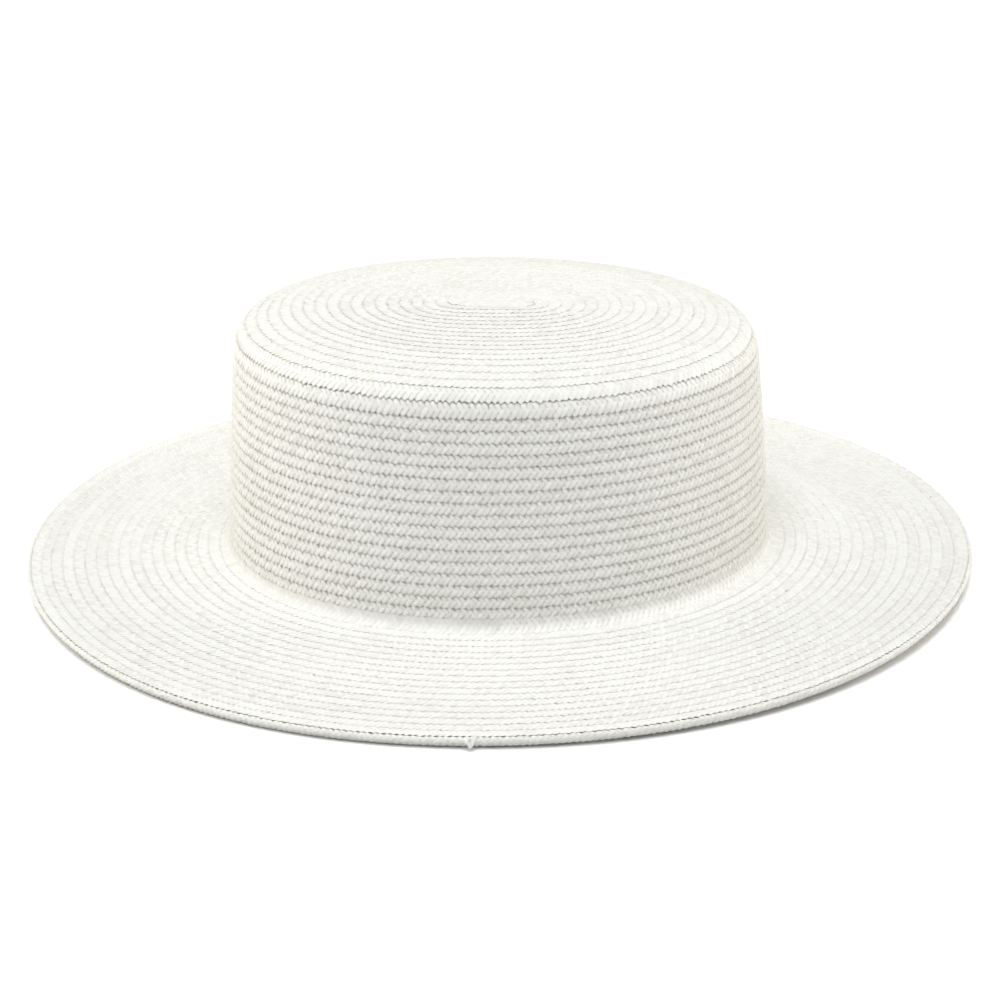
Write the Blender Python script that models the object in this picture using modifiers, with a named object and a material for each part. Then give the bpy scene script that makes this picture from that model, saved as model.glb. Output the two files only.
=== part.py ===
"""A flat-topped, wide-brimmed straw hat, sewn from a narrow paper braid that runs in a spiral.

Metres, +Z up. The hat stands on the edge of its brim. The origin is on that surface, under the
middle of the crown, and X runs along the long way of the head opening.

The hat's outer face is first drawn as a line in a plane, from the middle of the tip to the rim, with
the distance from the axis measured along the short way of the hat. The line is turned round Z, and
each ring is then moved out along X, to run parallel to an oval core in the middle of the head's oval.
"""

import math
from typing import NamedTuple

import bpy
import numpy as np

# Crown, measured on the outer face, down to its join with the brim
CROWN_LENGTH = 0.198
CROWN_WIDTH = 0.1735
CROWN_HEIGHT = 0.0858
TIP_BORDER = 0.0248
SHOULDER_RADIUS = 0.0080
SIDE_TOP_RADIUS = 0.0140

# Brim, measured level from its join with the crown to the rim
BRIM_WIDTH = 0.0740
FOOT_RADIUS = 0.0035

# How steeply the outer face falls at each place, down from level
TIP_BORDER_SLOPE = math.radians(2.0)
TIP_EDGE_SLOPE = math.radians(21.0)
SHOULDER_SLOPE = math.radians(51.0)
SIDE_TOP_SLOPE = math.radians(84.8)
SIDE_FOOT_SLOPE = math.radians(87.6)
BRIM_FOOT_SLOPE = math.radians(3.9)
BRIM_RIM_SLOPE = math.radians(2.7)

# How far the tip leans from level, down towards +X and +Y, growing evenly from the foot of the side
TIP_TILT_RIGHT = math.radians(1.25)
TIP_TILT_BACK = math.radians(1.5)

# Braid: the pitch is what shows of one turn, and each turn laps over the next one out
BRAID_THICKNESS = 0.0019
ROW_PITCH = 0.0042
SHOULDER_ROW_PITCH = 0.0057
SHOULDER_ROWS = 2
ROW_STEP = 0.0006

# Edge of the brim: a braid folded round the rim, half of it under the last turn
EDGE_HEIGHT = 0.0042
EDGE_ROLL = 0.0050
EDGE_UNDERLAP = 0.0055

SEAM_GAP = 0.0003

# Fineness of the meshes
RING_SEGMENTS = 40
ROLL_POINTS = 7
LINING_TURN = math.radians(15.0)
LINING_STEP = 0.020
MERGE_DISTANCE = 0.00001
SMOOTH_ANGLE = math.radians(25.0)

# Width over length of the oval core that the rings run parallel to, in the middle and from the crown out
START_ROUNDNESS = 0.05
RING_ROUNDNESS = 0.45

STRAW_WHITE = (0.90, 0.90, 0.87, 1.0)
EDGE_WHITE = (0.86, 0.86, 0.82, 1.0)
STRAW_ROUGHNESS = 0.6


class Stretch(NamedTuple):
    """A stretch of the outer face, followed outwards: an arc, or straight where its slopes are equal."""

    length: float
    start_slope: float
    end_slope: float


def chord(stretch):
    """How far out and up a stretch goes from its start to its end."""
    half_turn = (stretch.end_slope - stretch.start_slope) / 2
    mean_slope = (stretch.end_slope + stretch.start_slope) / 2
    straight = stretch.length * np.sinc(half_turn / math.pi)
    return straight * np.array([math.cos(mean_slope), -math.sin(mean_slope)])


def arc(radius, start_slope, end_slope):
    return Stretch(radius * abs(end_slope - start_slope), start_slope, end_slope)


def crown_face():
    """Middle of the tip, its border, the shoulder's two bends and the side, to the crown's size."""
    bends = [
        Stretch(TIP_BORDER, TIP_BORDER_SLOPE, TIP_EDGE_SLOPE),
        arc(SHOULDER_RADIUS, TIP_EDGE_SLOPE, SHOULDER_SLOPE),
        arc(SIDE_TOP_RADIUS, SHOULDER_SLOPE, SIDE_TOP_SLOPE),
    ]
    middle = Stretch(1.0, 0.0, TIP_BORDER_SLOPE)
    side = Stretch(1.0, SIDE_TOP_SLOPE, SIDE_FOOT_SLOPE)
    left_to_go = np.array([CROWN_WIDTH / 2, -CROWN_HEIGHT]) - sum(chord(bend) for bend in bends)
    lengths = np.linalg.solve(np.column_stack([chord(middle), chord(side)]), left_to_go)
    return [middle._replace(length=lengths[0]), *bends, side._replace(length=lengths[1])]


def brim_face():
    """The bend at the foot of the side, and the brim up to the roll of its edge."""
    foot = arc(FOOT_RADIUS, SIDE_FOOT_SLOPE, BRIM_FOOT_SLOPE)
    flat = Stretch(1.0, BRIM_FOOT_SLOPE, BRIM_RIM_SLOPE)
    left_to_go = BRIM_WIDTH - chord(foot)[0] - SEAM_GAP - EDGE_ROLL
    return [foot, flat._replace(length=left_to_go / chord(flat)[0])]


CROWN_FACE = crown_face()
BRIM_FACE = brim_face()
OUTER_FACE = CROWN_FACE + BRIM_FACE
HAT_HEIGHT = EDGE_HEIGHT - sum(chord(stretch)[1] for stretch in OUTER_FACE)

# Places along the outer face, measured from the middle of the tip
CROWN_END = sum(stretch.length for stretch in CROWN_FACE)
SIDE_START = CROWN_END - CROWN_FACE[-1].length
SHOULDER_ROWS_START = SIDE_START - SHOULDER_ROWS * SHOULDER_ROW_PITCH
FOOT_END = CROWN_END + BRIM_FACE[0].length
BRIM_END = FOOT_END + BRIM_FACE[1].length


def face_point(along, depth=0.0):
    """The point at a distance along the outer face and a depth under it, as (out from the axis, up)."""
    place = np.array([0.0, HAT_HEIGHT])
    for stretch in OUTER_FACE:
        share = min(along / stretch.length, 1.0)
        slope = stretch.start_slope + share * (stretch.end_slope - stretch.start_slope)
        place = place + chord(Stretch(share * stretch.length, stretch.start_slope, slope))
        along -= share * stretch.length
        if along <= 0.0:
            break
    return tuple(place - depth * np.array([math.sin(slope), math.cos(slope)]))


def row_edges(start, end):
    """Edges of equal rows between two places, as near to the braid's pitch as whole rows allow."""
    count = max(1, round((end - start) / ROW_PITCH))
    return list(np.linspace(start, end, count + 1))


def stepped_rows(edges):
    """The rows' upper face: each row starts low, under the row before it, and ends proud."""
    points = []
    for inner, outer in zip(edges, edges[1:]):
        points.append(face_point(inner, ROW_STEP))
        points.append(face_point(outer))
    return points


def under_face(start, end):
    """The lower face from one place back to the other, with points where it bends or runs far."""
    places = [start, end]
    reached = 0.0
    for stretch in OUTER_FACE:
        turn = abs(stretch.end_slope - stretch.start_slope)
        steps = math.ceil(max(turn / LINING_TURN, stretch.length / LINING_STEP))
        between = reached + stretch.length * np.arange(steps) / steps
        places += [place for place in between if start + SEAM_GAP < place < end - SEAM_GAP]
        reached += stretch.length
    return [face_point(place, BRAID_THICKNESS) for place in sorted(places, reverse=True)]


def crown_section():
    end = CROWN_END - SEAM_GAP
    tip = row_edges(0.0, SHOULDER_ROWS_START)
    shoulder = np.linspace(SHOULDER_ROWS_START, SIDE_START, SHOULDER_ROWS + 1)
    side = row_edges(SIDE_START, end)
    rows = stepped_rows([*tip, *shoulder[1:], *side[1:]])
    # The first turn has no turn before it to lie under, so the middle is level with its top
    rows[0] = face_point(0.0)
    return rows + under_face(0.0, end)


def brim_section():
    rows = stepped_rows([CROWN_END, *row_edges(FOOT_END, BRIM_END)])
    return rows + under_face(CROWN_END, BRIM_END)


def brim_edge_section():
    """A half-round roll outside the last turn, and the underlap that is turned in below it."""
    roll_start = face_point(BRIM_END)[0] + SEAM_GAP
    half_height = EDGE_HEIGHT / 2
    roll = []
    for number in range(ROLL_POINTS):
        angle = math.pi * (0.5 - number / (ROLL_POINTS - 1))
        out = roll_start + EDGE_ROLL * math.cos(angle)
        roll.append((out, half_height * (1 + math.sin(angle))))
    under = BRAID_THICKNESS + SEAM_GAP
    inner_out, inner_up = face_point(BRIM_END - EDGE_UNDERLAP, under)
    corner_up = face_point(BRIM_END, under)[1]
    return roll + [(inner_out, 0.0), (inner_out, inner_up), (roll_start, corner_up)]


def onto_oval(x, y):
    """Moves a turned ring's point outwards along X, onto the ring that lies as far from the core."""
    out = math.hypot(x, y)
    if out < MERGE_DISTANCE:
        return 0.0, 0.0
    cosine, sine = x / out, y / out
    size = min(1.0, 2 * out / CROWN_WIDTH)
    roundness = START_ROUNDNESS + (RING_ROUNDNESS - START_ROUNDNESS) * size
    core_half = (CROWN_LENGTH - CROWN_WIDTH) / 2 / (1 - roundness)
    core_reach = core_half / math.hypot(cosine, roundness * sine)
    clear = out - core_half * roundness
    return cosine * (clear + core_reach), sine * (clear + core_reach * roundness**2)


def tilted(x, y, z):
    """The height of a point once the tip's tilt has moved it, which leaves all below the crown level."""
    foot = face_point(CROWN_END)[1]
    share = max(0.0, (z - foot) / (HAT_HEIGHT - foot))
    return z - share * (x * math.tan(TIP_TILT_RIGHT) + y * math.tan(TIP_TILT_BACK))


def paper_material(name, color):
    material = bpy.data.materials.new(name)
    material.use_nodes = True
    surface = material.node_tree.nodes["Principled BSDF"]
    surface.inputs["Base Color"].default_value = color
    surface.inputs["Roughness"].default_value = STRAW_ROUGHNESS
    surface.inputs["Metallic"].default_value = 0.0
    return material


def turned_oval(name, section, closed, color, collection):
    """A piece turned from its section, which runs down the outer side, and set onto the oval."""
    count = len(section)
    edges = [(number, (number + 1) % count) for number in range(count if closed else count - 1)]
    line = bpy.data.meshes.new(name)
    line.from_pydata([(out, 0.0, up) for out, up in section], edges, [])
    piece = bpy.data.objects.new(name, line)
    collection.objects.link(piece)
    screw = piece.modifiers.new("Turn", "SCREW")
    screw.axis = "Z"
    screw.angle = 2 * math.pi
    screw.steps = screw.render_steps = RING_SEGMENTS
    screw.use_merge_vertices = True
    screw.merge_threshold = MERGE_DISTANCE
    turned = piece.evaluated_get(bpy.context.evaluated_depsgraph_get())
    mesh = bpy.data.meshes.new_from_object(turned)
    piece.modifiers.clear()
    piece.data = mesh
    bpy.data.meshes.remove(line)
    mesh.name = name
    for vertex in mesh.vertices:
        vertex.co.x, vertex.co.y = onto_oval(vertex.co.x, vertex.co.y)
        vertex.co.z = tilted(*vertex.co)
    mesh.shade_smooth()
    mesh.set_sharp_from_angle(angle=SMOOTH_ANGLE)
    mesh.materials.append(paper_material(name + "_paper", color))
    return piece


def main():
    for leftover in list(bpy.data.objects):
        bpy.data.objects.remove(leftover)
    hat = bpy.data.collections.new("straw_hat")
    bpy.context.scene.collection.children.link(hat)
    turned_oval("crown", crown_section(), False, STRAW_WHITE, hat)
    turned_oval("brim", brim_section(), True, STRAW_WHITE, hat)
    turned_oval("brim_edge", brim_edge_section(), True, EDGE_WHITE, hat)


main()
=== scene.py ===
"""Looks of a straw hat, sewn from a narrow paper plait in one spiral from the tip to the rim.

The file is laid out as a Blender add-on and is run as a script. Metres, +Z up. The hat stands on
the edge of its brim, the origin is on that surface under the middle of the crown, and the front
is at -Y.
"""

import math

import bpy
import numpy as np
from bpy.props import FloatProperty, FloatVectorProperty, IntProperty, PointerProperty
from mathutils import Matrix, Vector


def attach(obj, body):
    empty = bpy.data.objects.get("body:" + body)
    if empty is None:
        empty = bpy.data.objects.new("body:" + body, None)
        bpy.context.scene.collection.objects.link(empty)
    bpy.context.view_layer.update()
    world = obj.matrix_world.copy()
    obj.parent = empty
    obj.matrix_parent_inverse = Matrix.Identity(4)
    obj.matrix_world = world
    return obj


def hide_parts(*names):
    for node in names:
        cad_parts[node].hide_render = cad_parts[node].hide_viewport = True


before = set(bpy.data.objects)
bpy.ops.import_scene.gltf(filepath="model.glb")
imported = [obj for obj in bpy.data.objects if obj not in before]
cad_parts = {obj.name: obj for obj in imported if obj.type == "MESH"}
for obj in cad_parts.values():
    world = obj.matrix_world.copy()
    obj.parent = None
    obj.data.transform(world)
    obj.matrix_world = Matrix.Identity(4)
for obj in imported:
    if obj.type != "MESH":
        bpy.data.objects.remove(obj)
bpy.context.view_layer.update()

bl_info = {
    "name": "Straw Hat",
    "version": (1, 0, 0),
    "blender": (4, 5, 0),
    "location": "3D View > Sidebar > Straw Hat",
    "description": "Plaits and sews a wide-brimmed straw hat, and sets it on a studio floor",
    "category": "Add Mesh",
}

# Sizes of the hat's outer face, as its solids have them
CROWN_LENGTH = 0.198
CROWN_WIDTH = 0.1735
CROWN_HEIGHT = 0.0858
TIP_BORDER = 0.0248
SHOULDER_RADIUS = 0.0080
SIDE_TOP_RADIUS = 0.0140
BRIM_WIDTH = 0.0740
FOOT_RADIUS = 0.0035
EDGE_HEIGHT = 0.0042
EDGE_ROLL = 0.0050
EDGE_UNDERLAP = 0.0055
SEAM_GAP = 0.0003
START_ROUNDNESS = 0.05
RING_ROUNDNESS = 0.45
TIP_TILT_RIGHT = math.radians(1.25)
TIP_TILT_BACK = math.radians(1.5)

# How far the brim bows up on both sides, and the angle round the hat where it rests
SIDE_BOW = 0.0021
BOW_ANGLE = math.radians(-115.0)

# How steeply the outer face falls, down from level, at the end of each of its stretches
TIP_BORDER_SLOPE = math.radians(2.0)
TIP_EDGE_SLOPE = math.radians(21.0)
SHOULDER_SLOPE = math.radians(51.0)
SIDE_TOP_SLOPE = math.radians(84.8)
SIDE_FOOT_SLOPE = math.radians(87.6)
BRIM_FOOT_SLOPE = math.radians(3.9)
BRIM_RIM_SLOPE = math.radians(2.7)

# Rows of braid: what shows of one turn
ROW_PITCH = 0.0042
SHOULDER_ROW_PITCH = 0.0057
SHOULDER_ROWS = 2

# The outer face's line: spacing of its points, and how far it runs on past both ends
FACE_STEP = 0.00005
FACE_MARGIN = 0.010
# Points that one turn of a run of braid is measured at
TURN_SAMPLES = 1440

# Start of the spiral: its turn, where rows begin to step down, and how the end is tucked in
START_TURN = -0.555
SETTLE_START = -0.4
SETTLE_TURNS = 0.3
TUCK_TURNS = 0.012
TUCK_DEPTH = 0.0012
# How near the first turn may come to the bend of the oval's core, where it would cross itself
FOLD_SHARE = 0.9
# Least width that a row is taken to have, for the rows that shrink away at both ends of the spiral
NARROWEST_ROW = 0.001

# The plait: how much sharper than a wave a strand's zigzag is, and where along it the braid starts
STRANDS = 3
SHARP_TURN = 0.07
FIRST_PHASE = math.radians(10.0)
# Height of a strand's ridge, and how much it changes as the strand goes over and under
RIDGE_MEAN = 0.55
RIDGE_CHANGE = 0.45
# Place of the stitches across half the braid's width, and how far across it they pull
STITCH_PLACE = -0.38
STITCH_SPREAD = 0.08

# How the strands stray from an even plait: seed, length between changes and their usual size
PHASE_WANDER = (50, 0.008, 0.12)
SWING_WANDER = (0, 0.011, 0.05)
GIRTH_WANDER = (10, 0.003, 0.09)
DRIFT_WANDER = (20, 0.009, 0.00005)
LONG_SHADE_WANDER = (30, 0.05, 0.20)
SHORT_SHADE_WANDER = (40, 0.003, 0.25)
MIDDLE_SHADE = 0.5
# Seeds of the spiral braid and of the rows round the rim
SPIRAL_SEED = 100
EDGE_SEED = 200
ROW_SEEDS = 50

# Where the braid lies flat: how much wider it laps, and how much of each row's step is pressed away
FLAT_LAP = 0.35
STEP_FLATTENING = 0.62

# The doubled edge: five rows, two folded over the rim as a lip and three set in under it
EDGE_ROWS = 5
EDGE_START = 0.5
EDGE_END = 1.55
EDGE_LAP = 0.0014
EDGE_STEP = 0.00002
EDGE_OVERLAP = 0.002
# The rows round the rim are pressed only this much as flat as the brim
RIM_FLATNESS = 0.5
FOLD_OUT = 0.0010
FOLD_DROP = 0.0007
FOLD_POINTS = 25
LIP_UP = 0.0020
LIP_CURL = 0.0004
FOOT_INSET = 0.0015
FOOT_CHAMFER = 0.0003
BRAID_DIP = 0.0001
NORMAL_REACH = 0.0004

# Two strand ends at the front of the rim, as points along the rim, out from the last row and up
LOOSE_SIZE = 0.75
LOOSE_SECTIONS = 9
LOOSE_SPACING = 0.001
LOOSE_SHADE = 0.9
LOOSE_ENDS = (
    ((-0.0066, 0.0034, 0.0040), (-0.0074, 0.0054, 0.0036),
     (-0.0080, 0.0060, 0.0020), (-0.0086, 0.0054, 0.0011)),
    ((-0.0094, 0.0046, 0.0042), (-0.0092, 0.0058, 0.0034),
     (-0.0084, 0.0060, 0.0024), (-0.0080, 0.0056, 0.0016)))

SMOOTH_ANGLE = math.radians(70.0)

# Painted light and shade: each part gets its own copy of the same straw, made lighter or darker as
# light falls on it, against the colours that are set
TIP_PAINTED_LIGHT_LEVEL = 1.01
SIDE_PAINTED_LIGHT_LEVEL = 1.0
BRIM_PAINTED_LIGHT_LEVEL = 0.925
EDGE_PAINTED_LIGHT_LEVEL = 0.95
# Painted shade in the creases beside a strand: how much the straw's colour is darkened there, where
# the braid lies flat and on the crown's side
FLAT_CREASE_PAINTED_SHADE = 0.18
SIDE_CREASE_PAINTED_SHADE = 0.42
CREASE_PAINTED_SHADE_START = 0.2
CREASE_PAINTED_SHADE_TONE = 0.55
GLOSS = 0.35
FIBRE_SCALE = (5.0, 220.0, 1.0)
FIBRE_DETAIL = 3.0
FIBRE_SHADE = 0.5
FIBRE_BUMP = 0.35
FIBRE_HEIGHT = 0.00025

# The studio: a square floor, a wide light from above and a soft box on either side
WARM_WHITE = (1.0, 0.95, 0.83)
COOL_WHITE = (0.93, 0.965, 1.0)
FLOOR_HALF = 3
FLOOR_ROUGHNESS = 0.9
TOP_LIGHT_WAY = (0.03, 0.22, -1.0)
TOP_LIGHT_SPREAD = math.radians(35.0)
BOX_OUT = 0.9
BOX_BACK = 0.1
BOX_UP = 0.40
BOX_SIZE = 0.5
BOX_AIM_UP = 0.05
CAMERA_SHIFT = (0.0012, 0.0233)
NEAREST_VIEW = 0.05


def chord(length, start_slope, end_slope):
    """How far out and down a stretch of the face goes from its start to its end."""
    straight = length * np.sinc((end_slope - start_slope) / 2 / math.pi)
    mean_slope = (start_slope + end_slope) / 2
    return straight * np.array([math.cos(mean_slope), math.sin(mean_slope)])


def face_stretches():
    """Lengths of the outer face's stretches, from the middle of the tip to the brim's edge."""
    border = (TIP_BORDER, TIP_BORDER_SLOPE, TIP_EDGE_SLOPE)
    shoulder = (SHOULDER_RADIUS * (SHOULDER_SLOPE - TIP_EDGE_SLOPE), TIP_EDGE_SLOPE, SHOULDER_SLOPE)
    side_top = (SIDE_TOP_RADIUS * (SIDE_TOP_SLOPE - SHOULDER_SLOPE), SHOULDER_SLOPE, SIDE_TOP_SLOPE)
    left_to_go = np.array([CROWN_WIDTH / 2, CROWN_HEIGHT])
    left_to_go = left_to_go - chord(*border) - chord(*shoulder) - chord(*side_top)
    middle_way = chord(1.0, 0.0, TIP_BORDER_SLOPE)
    side_way = chord(1.0, SIDE_TOP_SLOPE, SIDE_FOOT_SLOPE)
    middle, side = np.linalg.solve(np.column_stack([middle_way, side_way]), left_to_go)
    foot = (FOOT_RADIUS * (SIDE_FOOT_SLOPE - BRIM_FOOT_SLOPE), SIDE_FOOT_SLOPE, BRIM_FOOT_SLOPE)
    brim_out = BRIM_WIDTH - chord(*foot)[0] - SEAM_GAP - EDGE_ROLL
    brim = brim_out / chord(1.0, BRIM_FOOT_SLOPE, BRIM_RIM_SLOPE)[0]
    return [middle, TIP_BORDER, shoulder[0], side_top[0], side, foot[0], brim]


STRETCH_ENDS = np.cumsum([0.0, *face_stretches()])
STRETCH_SLOPES = [0.0, TIP_BORDER_SLOPE, TIP_EDGE_SLOPE, SHOULDER_SLOPE, SIDE_TOP_SLOPE,
                  SIDE_FOOT_SLOPE, BRIM_FOOT_SLOPE, BRIM_RIM_SLOPE]
SIDE_START, CROWN_END, FOOT_END, BRIM_END = STRETCH_ENDS[4:]
SHOULDER_START = SIDE_START - SHOULDER_ROWS * SHOULDER_ROW_PITCH

# The outer face as a finely drawn line, which starts a little on the far side of the axis
PLACES = np.arange(-FACE_MARGIN, BRIM_END + FACE_MARGIN, FACE_STEP)
SLOPES = np.interp(PLACES, STRETCH_ENDS, STRETCH_SLOPES)
OUTS = np.cumsum(np.cos(SLOPES)) * FACE_STEP
OUTS -= np.interp(0.0, PLACES, OUTS)
UPS = -np.cumsum(np.sin(SLOPES)) * FACE_STEP
UPS += EDGE_HEIGHT - np.interp(BRIM_END, PLACES, UPS)
HAT_HEIGHT = np.interp(0.0, PLACES, UPS)
FOOT_UP = np.interp(CROWN_END, PLACES, UPS)


def row_edges(start, end):
    """Edges of equal rows between two places, as near to the pitch as whole rows allow."""
    count = max(1, round((end - start) / ROW_PITCH))
    return list(np.linspace(start, end, count + 1))


def all_row_edges():
    """Edges of every row from the middle of the tip to the rim, and how many rows the crown has."""
    tip = row_edges(0.0, SHOULDER_START)
    shoulder = list(np.linspace(SHOULDER_START, SIDE_START, SHOULDER_ROWS + 1))
    side = row_edges(SIDE_START, CROWN_END)
    brim = row_edges(FOOT_END, BRIM_END)
    crown = [*tip, *shoulder[1:], *side[1:]]
    return [*crown, *brim], len(tip) - 1, len(crown) - 1


ROW_EDGES, TIP_ROWS, CROWN_ROWS = all_row_edges()
ROWS = len(ROW_EDGES) - 1
# One more edge on each side, for the start of the first turn and the end of the last
EDGE_TURNS = np.arange(-1, ROWS + 2)
EDGE_PLACES = np.array([-ROW_PITCH, *ROW_EDGES, BRIM_END])


class BraidSizes(bpy.types.PropertyGroup):
    """Sizes of the plait and of the way it is sewn."""

    strand_width: FloatProperty(
        name="Strand width", description="Width of one strand of paper straw",
        default=0.0018, unit="LENGTH")
    strand_thickness: FloatProperty(
        name="Strand thickness", description="Height of the ridge along a strand",
        default=0.00050, unit="LENGTH")
    plait_length: FloatProperty(
        name="Plait length", description="Length in which a strand goes across the braid and back",
        default=0.00645, unit="LENGTH")
    plait_swing: FloatProperty(
        name="Plait swing",
        description="How far a strand's middle goes to each side of the braid's",
        default=0.0016, unit="LENGTH")
    plait_rise: FloatProperty(
        name="Plait rise", description="How far a strand rises and dips where it crosses another",
        default=0.00012, unit="LENGTH")
    lap: FloatProperty(
        name="Lap", description="How far each row reaches under the row before it",
        default=0.0013, unit="LENGTH")
    step: FloatProperty(
        name="Step", description="How much lower a row starts than it ends",
        default=0.00023, unit="LENGTH")
    lap_dip: FloatProperty(
        name="Dip", description="How much deeper the lapped part of a row lies",
        default=0.00040, unit="LENGTH")
    stitch_length: FloatProperty(
        name="Stitch length", description="Length of one stitch of the seam between two rows",
        default=0.0043, unit="LENGTH")
    stitch_dip: FloatProperty(
        name="Stitch dip", description="How far a stitch pulls a row down beside the seam",
        default=0.00058, unit="LENGTH")
    flatness: FloatProperty(
        name="Flatness",
        description="How much lower the strands are pressed on the tip and the brim",
        default=0.78, min=0.0, max=1.0, subtype="FACTOR")
    sections: IntProperty(
        name="Sections", description="Sections that draw one plait length of a strand",
        default=9, min=6)


class StrawColours(bpy.types.PropertyGroup):
    """Colours and finish of the paper straw."""

    light: FloatVectorProperty(
        name="Light straw", description="Colour of the whitest strands",
        default=(0.905, 0.90, 0.875), subtype="COLOR", min=0.0, max=1.0)
    dark: FloatVectorProperty(
        name="Dark straw", description="Colour of the least white strands",
        default=(0.78, 0.765, 0.715), subtype="COLOR", min=0.0, max=1.0)
    roughness: FloatProperty(
        name="Roughness", description="Roughness of the paper", default=0.6, subtype="FACTOR")


class StudioLook(bpy.types.PropertyGroup):
    """Light, floor and camera."""

    floor: FloatVectorProperty(
        name="Floor", description="Colour of the floor",
        default=(0.98, 0.98, 0.99), subtype="COLOR")
    top_light: FloatProperty(
        name="Top light", description="Strength of the wide soft light from above", default=2.52)
    left_light: FloatProperty(
        name="Left light", description="Power of the soft box on the left",
        default=3.2, unit="POWER")
    right_light: FloatProperty(
        name="Right light", description="Power of the soft box on the right",
        default=2.7, unit="POWER")
    sky: FloatProperty(
        name="Sky", description="Strength of the even light from all round", default=0.25)
    distance: FloatProperty(
        name="Distance", description="From the camera to the foot of the crown",
        default=1.1202, unit="LENGTH")
    elevation: FloatProperty(
        name="Elevation", description="Height of the camera above the horizon",
        default=math.radians(22.92), subtype="ANGLE")
    roll: FloatProperty(
        name="Roll", description="Turn of the camera about its own line of sight",
        default=math.radians(-0.89), subtype="ANGLE")
    lens: FloatProperty(
        name="Lens", description="Focal length", default=109.5, subtype="DISTANCE_CAMERA")


def on_oval(angle, out, up):
    """Points of rings that lie round the oval, from the angle they face and their distance out."""
    cosine, sine = np.cos(angle), np.sin(angle)
    size = np.clip(2 * out / CROWN_WIDTH, 0.0, 1.0)
    roundness = START_ROUNDNESS + (RING_ROUNDNESS - START_ROUNDNESS) * size
    core_half = (CROWN_LENGTH - CROWN_WIDTH) / 2 / (1 - roundness)
    facing = np.hypot(cosine, roundness * sine)
    # Where the first turn folds round the end of the core it can't reach in past the fold
    fold = -FOLD_SHARE * core_half * roundness**2 / facing**3
    clear = np.maximum(out - core_half * roundness, fold)
    core_reach = core_half / facing
    x = cosine * (clear + core_reach)
    y = sine * (clear + core_reach * roundness**2)
    share = np.maximum(0.0, (up - FOOT_UP) / (HAT_HEIGHT - FOOT_UP))
    lean = x * math.tan(TIP_TILT_RIGHT) + y * math.tan(TIP_TILT_BACK)
    # The brim bows up a little on both sides, and rests on its front and back
    on_brim = np.clip((out - CROWN_WIDTH / 2) / BRIM_WIDTH, 0.0, 1.0)
    bow = SIDE_BOW * on_brim ** 2 * np.sin(angle - BOW_ANGLE) ** 2
    return np.stack([x, y, up - share * lean + bow], axis=-1)


def eased(value):
    """Goes from 0 to 1 as the value does, with a soft start and end."""
    value = np.clip(value, 0.0, 1.0)
    return value * value * (3 - 2 * value)


def angle_of(turn):
    """The braid runs clockwise seen from above, and each turn starts at the front."""
    return -math.pi / 2 - 2 * math.pi * turn


def spiral_surface(turn, across, lift):
    """Points on the spiral braid: across is a share of its width, -0.5 inside to 0.5 outside."""
    braid = bpy.context.scene.hat_braid
    inner = np.interp(turn, EDGE_TURNS, EDGE_PLACES)
    outer = np.interp(turn + 1, EDGE_TURNS, EDGE_PLACES)
    upright = np.interp((inner + outer) / 2, PLACES, SLOPES) / SIDE_FOOT_SLOPE
    flatter = 1 - upright ** 3
    pressed = 1 - braid.flatness * flatter
    lap = braid.lap * (1 + FLAT_LAP * flatter) * eased(turn + 1)
    along = inner - lap + (across + 0.5) * (outer - inner + lap)
    share = (along - inner) / np.maximum(outer - inner, NARROWEST_ROW)
    settle = eased((turn - SETTLE_START) / SETTLE_TURNS)
    lapped = eased((inner - along) / (braid.lap / 2))
    # The braid's own start is pushed down through the middle
    tuck = TUCK_DEPTH * (1 - eased((turn - START_TURN) / TUCK_TURNS))
    stepped = braid.step * (1 - share) * (1 - STEP_FLATTENING * flatter) * settle
    dipped = braid.lap_dip * lapped * settle + braid.plait_rise + braid.strand_thickness - lift
    depth = stepped + dipped * pressed + tuck
    slope = np.interp(along, PLACES, SLOPES)
    # The rows beside the middle lap over each other there
    out = np.interp(along, PLACES, OUTS) + np.minimum(along, 0.0) - depth * np.sin(slope)
    up = np.interp(along, PLACES, UPS) - depth * np.cos(slope)
    return on_oval(angle_of(turn), out, up)


class Course:
    """A run of braid: a surface that it lies on, and how far along it each turn is."""

    def __init__(self, surface, first_turn, last_turn):
        self.surface = surface
        samples = int((last_turn - first_turn) * TURN_SAMPLES)
        self.turns = np.linspace(first_turn, last_turn, samples)
        middle = surface(self.turns, 0.0 * self.turns, 0.0)
        steps = np.linalg.norm(np.diff(middle, axis=0), axis=1)
        self.reach = np.concatenate([[0.0], np.cumsum(steps)])

    def reach_at(self, turn):
        return np.interp(turn, self.turns, self.reach)

    def point(self, reach, across, lift):
        return self.surface(np.interp(reach, self.reach, self.turns), across, lift)


def wander(reach, kind, seed):
    """A smooth wobble along the braid, the same on every run."""
    own_seed, step, amount = kind
    knots = np.arange(0.0, reach.max() + 2 * step, step)
    values = np.random.default_rng(seed + own_seed).normal(0.0, amount, len(knots))
    return np.interp(reach, knots, values)


def strand_section(braid):
    """Section of a strand with one ridge, as (side, lift) points, anticlockwise."""
    width, ridge = braid.strand_width, braid.strand_thickness
    return np.array([(-0.5 * width, 0.0), (0.5 * width, 0.0), (0.0, ridge)])


def strand_faces(sections, sides, start):
    """Four-sided faces round a strand, between sections whose vertices are numbered from start."""
    first = start + np.arange(sections - 1)[:, None] * sides
    ring = first + np.arange(sides)[None, :]
    ahead = first + (np.arange(sides) + 1)[None, :] % sides
    return np.stack([ring, ahead, ahead + sides, ring + sides], axis=-1).reshape(-1, 4)


def end_caps(faces, sides):
    """The two faces that close a strand's ends, each with as many sides as its section."""
    return [faces[:sides, 0][::-1], faces[-sides:, 3]]


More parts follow.
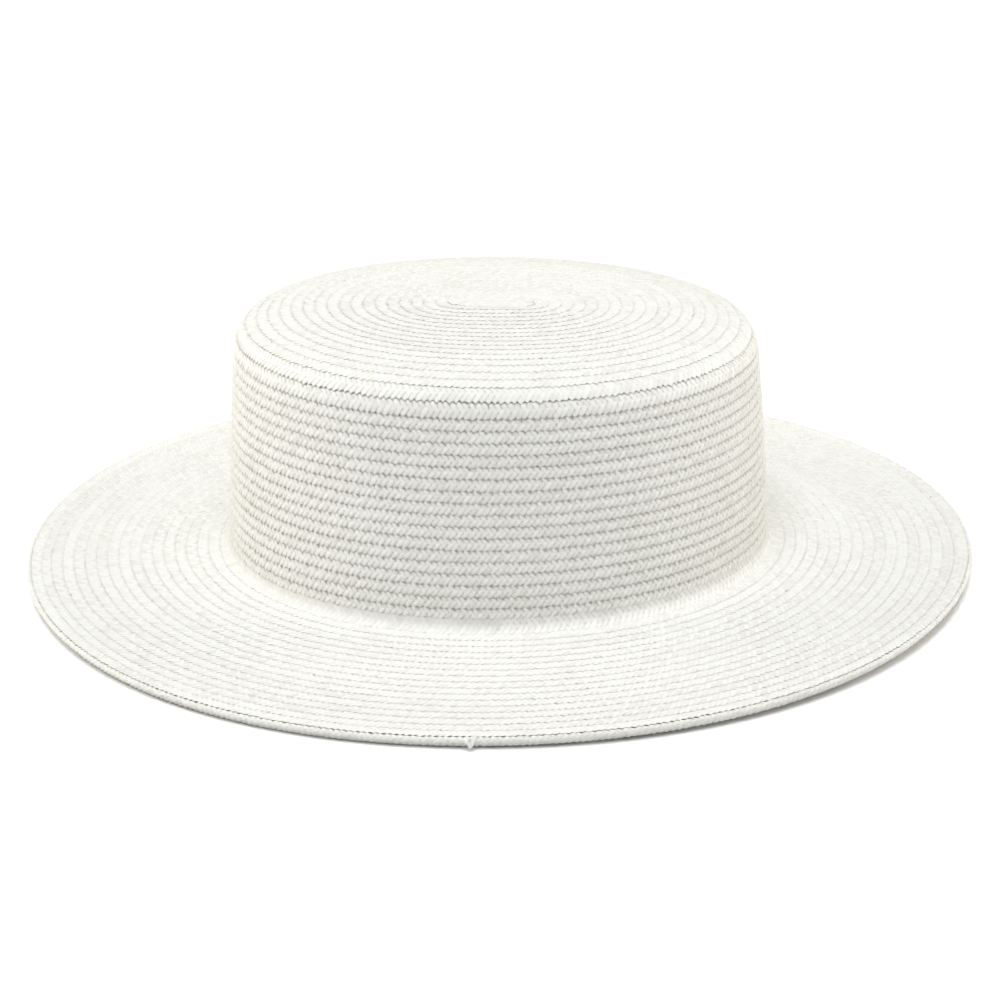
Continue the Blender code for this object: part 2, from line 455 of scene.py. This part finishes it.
def loose_strand(path):
    """One strand along a line of points, its ridge facing away from the hat's axis."""
    braid = bpy.context.scene.hat_braid
    section = strand_section(braid) * LOOSE_SIZE
    steps = np.gradient(path, axis=0)
    ahead = steps / np.linalg.norm(steps, axis=1, keepdims=True)
    outward = path * (1.0, 1.0, 0.0)
    side = np.cross(outward, ahead)
    side = side / np.linalg.norm(side, axis=1, keepdims=True)
    lift = np.cross(ahead, side)
    points = path[:, None] + section[None, :, :1] * side[:, None]
    points = points + section[None, :, 1:] * lift[:, None]
    faces = strand_faces(len(path), len(section), 0)
    place = np.empty((len(path), len(section), 2))
    place[..., 0] = section[None, :, 0] / (braid.strand_width * LOOSE_SIZE) + 0.5
    place[..., 1] = np.arange(len(path))[:, None] * LOOSE_SPACING
    shades = np.full(len(path) * len(section), LOOSE_SHADE)
    caps = end_caps(faces, len(section))
    return points.reshape(-1, 3), faces, caps, place.reshape(-1, 2), shades


def plait(course, first, last, seed, plait_length):
    """The strands between two reaches: vertices, faces, ends, places on the straw and shades."""
    braid = bpy.context.scene.hat_braid
    section = strand_section(braid)
    sides = len(section)
    step = plait_length / braid.sections
    # Sections stand at whole steps, so that neighbouring pieces meet at the same one
    reach = step * np.arange(round(first / step), round(last / step) + 1)
    half_width = braid.plait_swing * (1 + SHARP_TURN) + braid.strand_width / 2
    points, faces, straw, shades = [], [], [], []
    for strand in range(STRANDS):
        # A section stands at the very tip of each outer loop
        phase = 2 * math.pi * (reach / plait_length + strand / STRANDS) + FIRST_PHASE
        phase = phase + wander(reach, PHASE_WANDER, seed + strand)
        swing = braid.plait_swing * (1 + wander(reach, SWING_WANDER, seed + strand))
        turning = np.cos(phase) - 3 * SHARP_TURN * np.cos(3 * phase)
        slope = swing * 2 * math.pi / plait_length * turning
        length = np.hypot(1.0, slope)
        girth = 1 + wander(reach, GIRTH_WANDER, seed + strand)
        drift = wander(reach, DRIFT_WANDER, seed + strand)
        side = section[None, :, 0] * girth[:, None]
        along = reach[:, None] - side * (slope / length)[:, None]
        middle = swing * (np.sin(phase) - SHARP_TURN * np.sin(3 * phase)) + drift
        across = middle[:, None] + side / length[:, None]
        # A strand stands proud on its way out to either edge, and lies flat on its way back below
        proud = np.sin(2 * phase)
        ridge = girth * (RIDGE_MEAN + RIDGE_CHANGE * proud)
        lift = (braid.plait_rise * proud)[:, None] + section[None, :, 1] * ridge[:, None]
        stitch = (0.5 + 0.5 * np.cos(2 * math.pi * along / braid.stitch_length)) ** 2
        pull = np.exp(-(across / half_width - STITCH_PLACE) ** 2 / STITCH_SPREAD)
        lift = lift - braid.stitch_dip * stitch * pull
        start = sum(len(group) for group in points)
        points.append(course.point(along, across / (2 * half_width), lift).reshape(-1, 3))
        faces.append(strand_faces(len(reach), sides, start))
        place = np.empty((len(reach), sides, 2))
        place[..., 0] = section[None, :, 0] / braid.strand_width + 0.5
        place[..., 1] = reach[:, None]
        straw.append(place.reshape(-1, 2))
        shade = MIDDLE_SHADE + wander(reach, LONG_SHADE_WANDER, seed + strand)
        shade = shade + wander(reach, SHORT_SHADE_WANDER, seed + strand)
        shades.append(np.repeat(np.clip(shade, 0.0, 1.0), sides))
    caps = [cap for group in faces for cap in end_caps(group, sides)]
    points, faces = np.concatenate(points), np.concatenate(faces)
    return points, faces, caps, np.concatenate(straw), np.concatenate(shades)


def straw_mesh(name, plaits):
    """One mesh of several plaits: four-sided faces closed by end caps, with its map and shades."""
    mesh = bpy.data.meshes.new(name)
    firsts = np.cumsum([0, *(len(made[0]) for made in plaits)])
    points = np.concatenate([made[0] for made in plaits])
    faces = np.concatenate([made[1] + first for made, first in zip(plaits, firsts)])
    caps = [cap + first for made, first in zip(plaits, firsts) for cap in made[2]]
    straw = np.concatenate([made[3] for made in plaits])
    shades = np.concatenate([made[4] for made in plaits])
    corners = np.concatenate([faces.ravel(), *caps]).astype(np.int32)
    counts = np.concatenate([np.full(len(faces), 4), [len(cap) for cap in caps]])
    mesh.vertices.add(len(points))
    mesh.vertices.foreach_set("co", points.astype(np.float32).ravel())
    mesh.loops.add(len(corners))
    mesh.loops.foreach_set("vertex_index", corners)
    mesh.polygons.add(len(counts))
    starts = np.concatenate([[0], np.cumsum(counts)[:-1]]).astype(np.int32)
    mesh.polygons.foreach_set("loop_start", starts)
    mesh.update(calc_edges=True)
    mesh.validate()
    straw_map = mesh.uv_layers.new(name="straw")
    straw_map.uv.foreach_set("vector", straw[corners].astype(np.float32).ravel())
    shade = mesh.attributes.new("shade", "FLOAT", "POINT")
    shade.data.foreach_set("value", shades.astype(np.float32))
    mesh.shade_smooth()
    mesh.set_sharp_from_angle(angle=SMOOTH_ANGLE)
    return mesh


def new_material(name, roughness):
    """A material with nodes, and the shader in it."""
    material = bpy.data.materials.new(name)
    material.use_nodes = True
    surface = material.node_tree.nodes["Principled BSDF"]
    surface.inputs["Roughness"].default_value = roughness
    return material, surface


def shaded(colour, shade):
    """A colour made darker or brighter, as the shader takes it."""
    return (*(value * shade for value in colour), 1.0)


def straw_material(name, painted_light_level, crease_painted_shade_depth):
    """White paper straw: shade differs from strand to strand, with fine fibres along each. Painted
    shade darkens the creases at each strand's edges, and each part's copy is painted lighter or
    darker.
    """
    look = bpy.context.scene.hat_straw
    material, surface = new_material(name, look.roughness)
    surface.inputs["Specular IOR Level"].default_value = GLOSS
    nodes, links = material.node_tree.nodes, material.node_tree.links
    shade = nodes.new("ShaderNodeAttribute")
    shade.attribute_name = "shade"
    place = nodes.new("ShaderNodeUVMap")
    place.uv_map = "straw"
    stretch = nodes.new("ShaderNodeMapping")
    stretch.inputs["Scale"].default_value = FIBRE_SCALE
    links.new(place.outputs["UV"], stretch.inputs["Vector"])
    fibre = nodes.new("ShaderNodeTexNoise")
    fibre.inputs["Scale"].default_value = 1.0
    fibre.inputs["Detail"].default_value = FIBRE_DETAIL
    links.new(stretch.outputs["Vector"], fibre.inputs["Vector"])
    tint = nodes.new("ShaderNodeMix")
    tint.data_type = "RGBA"
    # Painted light and shade: the part's copy of the straw is made lighter or darker here
    tint.inputs["A"].default_value = shaded(look.dark, painted_light_level)
    tint.inputs["B"].default_value = shaded(look.light, painted_light_level)
    mixed = nodes.new("ShaderNodeMath")
    mixed.operation = "MULTIPLY_ADD"
    mixed.inputs[1].default_value = FIBRE_SHADE
    links.new(fibre.outputs["Fac"], mixed.inputs[0])
    links.new(shade.outputs["Fac"], mixed.inputs[2])
    links.new(mixed.outputs["Value"], tint.inputs["Factor"])
    # Across a strand the map goes from 0 to 1, so a whole wave is highest at its two edges, where
    # the creases get their painted shade
    apart = nodes.new("ShaderNodeSeparateXYZ")
    links.new(place.outputs["UV"], apart.inputs["Vector"])
    wave = nodes.new("ShaderNodeMath")
    wave.operation = "MULTIPLY"
    wave.inputs[1].default_value = 2 * math.pi
    links.new(apart.outputs["X"], wave.inputs[0])
    crease = nodes.new("ShaderNodeMath")
    crease.operation = "COSINE"
    links.new(wave.outputs["Value"], crease.inputs[0])
    painted_crease_shade_amount = nodes.new("ShaderNodeMapRange")
    painted_crease_shade_amount.inputs["From Min"].default_value = CREASE_PAINTED_SHADE_START
    painted_crease_shade_amount.inputs["To Min"].default_value = 0.0
    painted_crease_shade_amount.inputs["To Max"].default_value = crease_painted_shade_depth
    links.new(crease.outputs["Value"], painted_crease_shade_amount.inputs["Value"])
    # Painted shade: the straw's colour is mixed towards a dark tone in the creases, where shade
    # would fall
    painted_crease_shade_mix = nodes.new("ShaderNodeMix")
    painted_crease_shade_mix.data_type = "RGBA"
    painted_crease_shade_mix.inputs["B"].default_value = shaded(look.dark, CREASE_PAINTED_SHADE_TONE)
    links.new(tint.outputs["Result"], painted_crease_shade_mix.inputs["A"])
    links.new(painted_crease_shade_amount.outputs["Result"], painted_crease_shade_mix.inputs["Factor"])
    links.new(painted_crease_shade_mix.outputs["Result"], surface.inputs["Base Color"])
    bump = nodes.new("ShaderNodeBump")
    bump.inputs["Strength"].default_value = FIBRE_BUMP
    bump.inputs["Distance"].default_value = FIBRE_HEIGHT
    links.new(fibre.outputs["Fac"], bump.inputs["Height"])
    links.new(bump.outputs["Normal"], surface.inputs["Normal"])
    return material


def add_piece(name, mesh, node, material):
    """Puts a mesh in the scene, in the place of the solid that it stands for."""
    piece = bpy.data.objects.new(name, mesh)
    bpy.context.scene.collection.objects.link(piece)
    mesh.materials.append(material)
    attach(piece, "root")
    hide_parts(node)


def add_spiral(names, first_turn, last_turn, node, material):
    """A stretch of the spiral braid, in as many equally long pieces as it has names."""
    course = Course(spiral_surface, START_TURN, ROWS)
    braid = bpy.context.scene.hat_braid
    reaches = np.linspace(course.reach_at(first_turn), course.reach_at(last_turn), len(names) + 1)
    for name, first, last in zip(names, reaches, reaches[1:]):
        strands = plait(course, first, last, SPIRAL_SEED, braid.plait_length)
        add_piece(name, straw_mesh(name, [strands]), node, material)


class STRAWHAT_OT_crown(bpy.types.Operator):
    """Plaits the tip and the side of the crown"""

    bl_idname = "straw_hat.crown"
    bl_label = "Crown"

    def execute(self, context):
        material = straw_material("tip_straw", TIP_PAINTED_LIGHT_LEVEL, FLAT_CREASE_PAINTED_SHADE)
        add_spiral(["crown_tip_braid"], START_TURN, TIP_ROWS, "crown", material)
        material = straw_material("crown_straw", SIDE_PAINTED_LIGHT_LEVEL, SIDE_CREASE_PAINTED_SHADE)
        sides = ["crown_side_braid_upper", "crown_side_braid_lower"]
        add_spiral(sides, TIP_ROWS, CROWN_ROWS, "crown", material)
        return {"FINISHED"}


class STRAWHAT_OT_brim(bpy.types.Operator):
    """Plaits the brim, from the foot of the crown to the last row"""

    bl_idname = "straw_hat.brim"
    bl_label = "Brim"

    def execute(self, context):
        material = straw_material("brim_straw", BRIM_PAINTED_LIGHT_LEVEL, FLAT_CREASE_PAINTED_SHADE)
        add_spiral(["brim_braid_inner", "brim_braid_outer"], CROWN_ROWS, ROWS, "brim", material)
        return {"FINISHED"}


def edge_line():
    """The doubled edge's outer face, from under the last row, round the rim and in below it."""
    start = np.interp(BRIM_END, PLACES, OUTS) + SEAM_GAP
    turns = np.linspace(0.0, math.pi / 2, FOLD_POINTS)
    rim_up = EDGE_HEIGHT - FOLD_DROP
    flat = EDGE_ROLL - FOLD_OUT
    over = np.column_stack([
        flat + np.sin(turns) * FOLD_OUT,
        rim_up + FOLD_DROP * np.cos(turns)])
    curl = np.column_stack([
        EDGE_ROLL - LIP_CURL * (1 - np.cos(turns)),
        rim_up - (rim_up - LIP_UP) * np.sin(turns)])
    lapped = [[-EDGE_LAP, EDGE_HEIGHT - BRAID_DIP], [-EDGE_LAP / 2, EDGE_HEIGHT - BRAID_DIP],
              [0.0, EDGE_HEIGHT - EDGE_STEP]]
    inset = EDGE_ROLL - LIP_CURL - FOOT_INSET
    under = [[inset, LIP_UP - FOOT_CHAMFER], [inset, FOOT_CHAMFER], [inset - FOOT_CHAMFER, 0.0]]
    under.append([-SEAM_GAP - EDGE_UNDERLAP, 0.0])
    return np.concatenate([lapped, over, curl[1:], under]) + [start, 0.0]


EDGE_LINE = edge_line()
EDGE_PLACE = np.concatenate([[0.0], np.cumsum(np.linalg.norm(np.diff(EDGE_LINE, axis=0), axis=1))])


def edge_surface(row):
    """The surface that one row of the doubled edge lies on."""
    pitch = (EDGE_PLACE[-1] - EDGE_LAP) / EDGE_ROWS
    braid = bpy.context.scene.hat_braid

    def surface(turn, across, lift):
        along = row * pitch + (across + 0.5) * (pitch + EDGE_LAP)
        lapped = eased((row * pitch + EDGE_LAP - along) / (EDGE_LAP / 2)) if row else 0.0
        depth = braid.lap_dip * lapped + braid.plait_rise + braid.strand_thickness - lift
        depth = depth * (1 - braid.flatness * (RIM_FLATNESS if row else 1.0))
        out, up = (np.interp(along, EDGE_PLACE, EDGE_LINE[:, axis]) for axis in (0, 1))
        before, after = (
            [np.interp(along + shift, EDGE_PLACE, EDGE_LINE[:, axis]) for axis in (0, 1)]
            for shift in (-NORMAL_REACH, NORMAL_REACH))
        way_out, way_up = after[0] - before[0], after[1] - before[1]
        length = np.hypot(way_out, way_up)
        return on_oval(angle_of(turn), out + depth * way_up / length, up - depth * way_out / length)

    return surface


def strand_ends():
    """The two ends of a strand that was cut off at the front of the rim, and sticks out over it."""
    start = np.interp(BRIM_END, PLACES, OUTS) + SEAM_GAP
    ends = []
    for line in LOOSE_ENDS:
        line = np.array(line)
        stops = np.linspace(0, len(line) - 1, LOOSE_SECTIONS)
        numbers = np.arange(len(line))
        along, out, up = (np.interp(stops, numbers, line[:, axis]) for axis in range(3))
        angle = -math.pi / 2 + along / (CROWN_WIDTH / 2 + BRIM_WIDTH)
        ends.append(loose_strand(on_oval(angle, start + out, up)))
    return ends


class STRAWHAT_OT_brim_edge(bpy.types.Operator):
    """Folds the last turns of braid round the rim"""

    bl_idname = "straw_hat.brim_edge"
    bl_label = "Brim edge"

    def execute(self, context):
        material = straw_material("edge_straw", EDGE_PAINTED_LIGHT_LEVEL, FLAT_CREASE_PAINTED_SHADE)
        for name, rows in (("brim_edge_braid", (0, 1)), ("brim_edge_under_braid", (2, 3, 4))):
            strands = []
            for row in rows:
                # Each turn is joined at the back on a whole number of plaits, end over start
                course = Course(edge_surface(row), EDGE_START, EDGE_END)
                around = course.reach_at(EDGE_START + 1)
                plaits = round(around / context.scene.hat_braid.plait_length)
                end = around + EDGE_OVERLAP
                seed = EDGE_SEED + ROW_SEEDS * row
                strands.append(plait(course, 0.0, end, seed, around / plaits))
            add_piece(name, straw_mesh(name, strands), "brim_edge", material)
        mesh = straw_mesh("strand_ends", strand_ends())
        add_piece("strand_ends", mesh, "brim_edge", material)
        return {"FINISHED"}


def add_light(name, kind, power, colour, place, way):
    """Puts a light at a place, where it shines along its way."""
    light = bpy.data.lights.new(name, kind)
    light.energy = power
    light.color = colour
    lamp = bpy.data.objects.new(name, light)
    lamp.location = place
    lamp.rotation_euler = Vector(way).to_track_quat("-Z", "Y").to_euler()
    bpy.context.scene.collection.objects.link(lamp)
    return light


class STRAWHAT_OT_stage(bpy.types.Operator):
    """Adds the floor, the soft studio light and the camera"""

    bl_idname = "straw_hat.stage"
    bl_label = "Stage"

    def execute(self, context):
        look = context.scene.hat_studio
        mesh = bpy.data.meshes.new("floor")
        half = FLOOR_HALF
        corners = [(-half, -half, 0), (half, -half, 0), (half, half, 0), (-half, half, 0)]
        mesh.from_pydata(corners, [], [(0, 1, 2, 3)])
        floor = bpy.data.objects.new("floor", mesh)
        context.scene.collection.objects.link(floor)
        material, surface = new_material("floor_paint", FLOOR_ROUGHNESS)
        surface.inputs["Base Color"].default_value = (*look.floor, 1.0)
        mesh.materials.append(material)
        world = bpy.data.worlds.new("studio")
        context.scene.world = world
        world.use_nodes = True
        background = world.node_tree.nodes["Background"]
        background.inputs["Color"].default_value = (*WARM_WHITE, 1.0)
        background.inputs["Strength"].default_value = look.sky
        overhead = add_light(
            "top_light", "SUN", look.top_light, COOL_WHITE, (0, 0, 0), TOP_LIGHT_WAY)
        overhead.angle = TOP_LIGHT_SPREAD
        target = Vector((0.0, 0.0, BOX_AIM_UP))
        for name, power, side in (
                ("left_light", look.left_light, -1), ("right_light", look.right_light, 1)):
            place = Vector((side * BOX_OUT, BOX_BACK, BOX_UP))
            box = add_light(name, "AREA", power, WARM_WHITE, place, target - place)
            box.shape = "DISK"
            box.size = BOX_SIZE
        camera = bpy.data.cameras.new("camera")
        camera.lens = look.lens
        camera.shift_x, camera.shift_y = CAMERA_SHIFT
        camera.clip_start = NEAREST_VIEW
        eye = bpy.data.objects.new("camera", camera)
        context.scene.collection.objects.link(eye)
        aim = Vector((0.0, 0.0, FOOT_UP))
        back = Vector((0.0, -math.cos(look.elevation), math.sin(look.elevation)))
        turned = (-back).to_track_quat("-Z", "Y").to_matrix() @ Matrix.Rotation(look.roll, 3, "Z")
        eye.matrix_world = Matrix.Translation(aim + back * look.distance) @ turned.to_4x4()
        context.scene.camera = eye
        context.scene.view_settings.view_transform = "Standard"
        return {"FINISHED"}


class STRAWHAT_PT_panel(bpy.types.Panel):
    """Lists the hat's sizes, colours and operators"""

    bl_idname = "STRAWHAT_PT_panel"
    bl_label = "Straw Hat"
    bl_space_type = "VIEW_3D"
    bl_region_type = "UI"
    bl_category = "Straw Hat"

    def draw(self, context):
        for settings_name in SETTINGS:
            settings = getattr(context.scene, settings_name)
            box = self.layout.box()
            for name in settings.bl_rna.properties.keys():
                if name not in ("rna_type", "name"):
                    box.prop(settings, name)
        for operator in OPERATORS:
            self.layout.operator(operator.bl_idname)


OPERATORS = (STRAWHAT_OT_crown, STRAWHAT_OT_brim, STRAWHAT_OT_brim_edge, STRAWHAT_OT_stage)
SETTINGS = {"hat_braid": BraidSizes, "hat_straw": StrawColours, "hat_studio": StudioLook}


def register():
    for settings_class in SETTINGS.values():
        bpy.utils.register_class(settings_class)
    for name, settings_class in SETTINGS.items():
        setattr(bpy.types.Scene, name, PointerProperty(type=settings_class))
    for shown in (*OPERATORS, STRAWHAT_PT_panel):
        bpy.utils.register_class(shown)


def unregister():
    for shown in (STRAWHAT_PT_panel, *reversed(OPERATORS)):
        bpy.utils.unregister_class(shown)
    for name in SETTINGS:
        delattr(bpy.types.Scene, name)
    for settings_class in reversed(SETTINGS.values()):
        bpy.utils.unregister_class(settings_class)


def main():
    register()
    bpy.ops.straw_hat.crown()
    bpy.ops.straw_hat.brim()
    bpy.ops.straw_hat.brim_edge()
    bpy.ops.straw_hat.stage()


if __name__ == "__main__":
    main()
